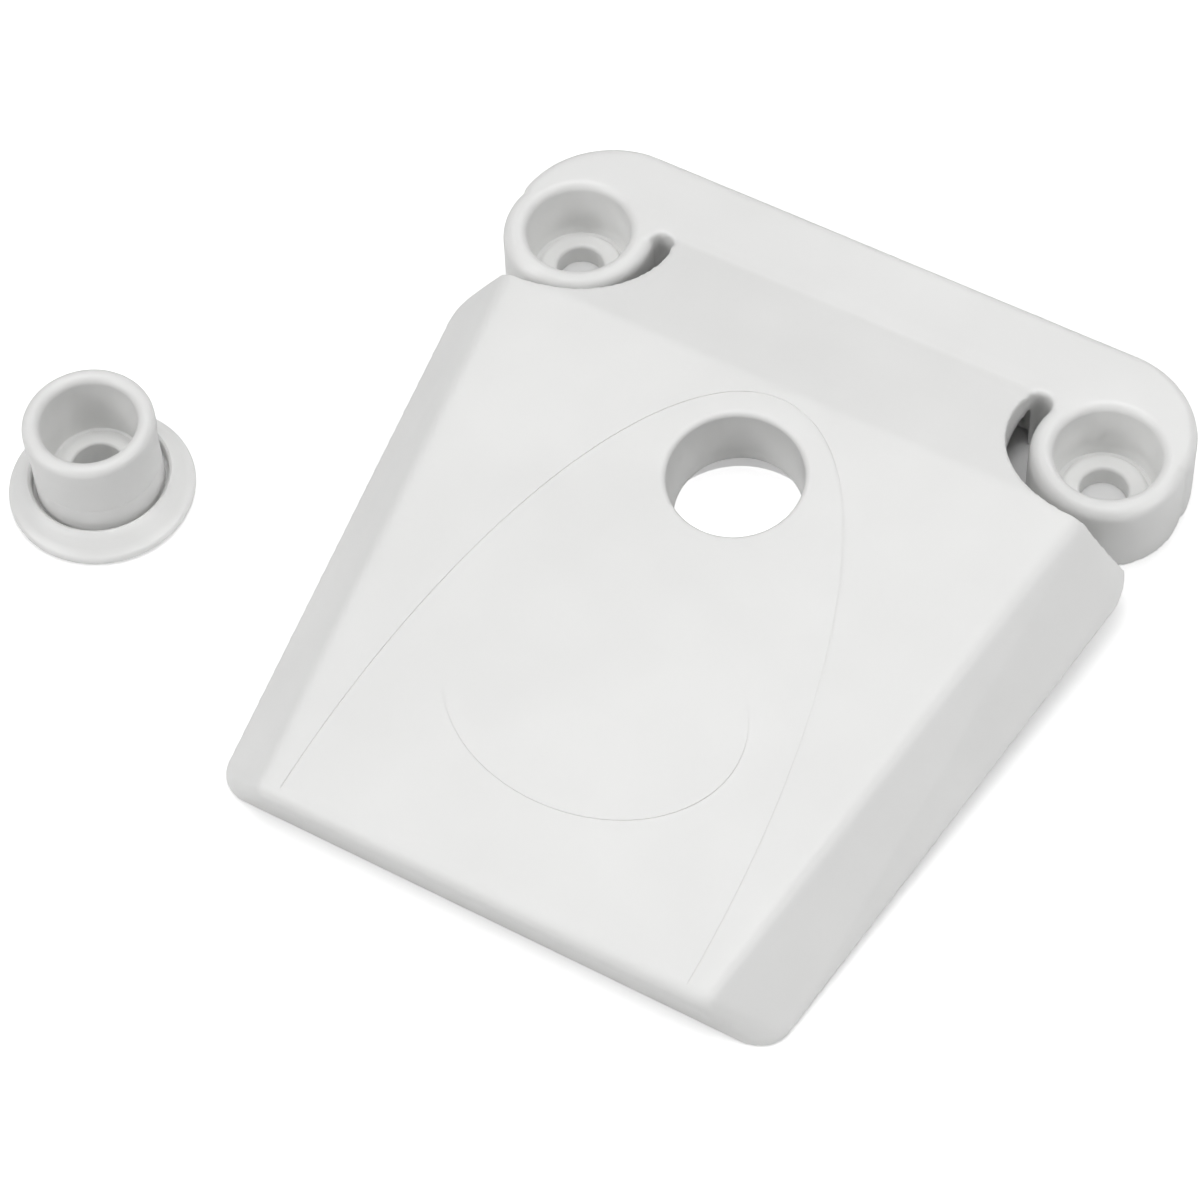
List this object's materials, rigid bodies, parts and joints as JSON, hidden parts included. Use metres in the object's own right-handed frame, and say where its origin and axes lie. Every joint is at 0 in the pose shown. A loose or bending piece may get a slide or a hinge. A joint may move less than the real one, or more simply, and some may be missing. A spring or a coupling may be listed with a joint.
{
  "type": "cooler latch",
  "caption": "White plastic cooler latch: screwed mounting bar, living hinge, sloped flap with a snap hole, and a flanged catch post.",
  "frame": {"origin": "on the mounting face of the bar, midway between the two screw holes", "axes": "+X along the hinge, +Y from the flap's free end to the bar's back edge, +Z away from the cooler's wall"},
  "size_m": [0.0996, 0.0788, 0.0118],
  "materials": {
    "white_plastic": "satin injection-moulded polypropylene"
  },
  "bodies": {
    "fixed": {"mounting_bar": "white_plastic", "hinge_web": "white_plastic", "catch_post": "white_plastic"},
    "flap": {"flap": "white_plastic"}
  },
  "joints": [
    {"name": "flap_hinge", "type": "hinge", "parent": "fixed", "child": "flap", "pos_m": [0, 0.0032, 0.0079], "axis": [-1, 0, 0], "range_deg": [0, 130], "deforming": ["hinge_web"]}
  ]
}
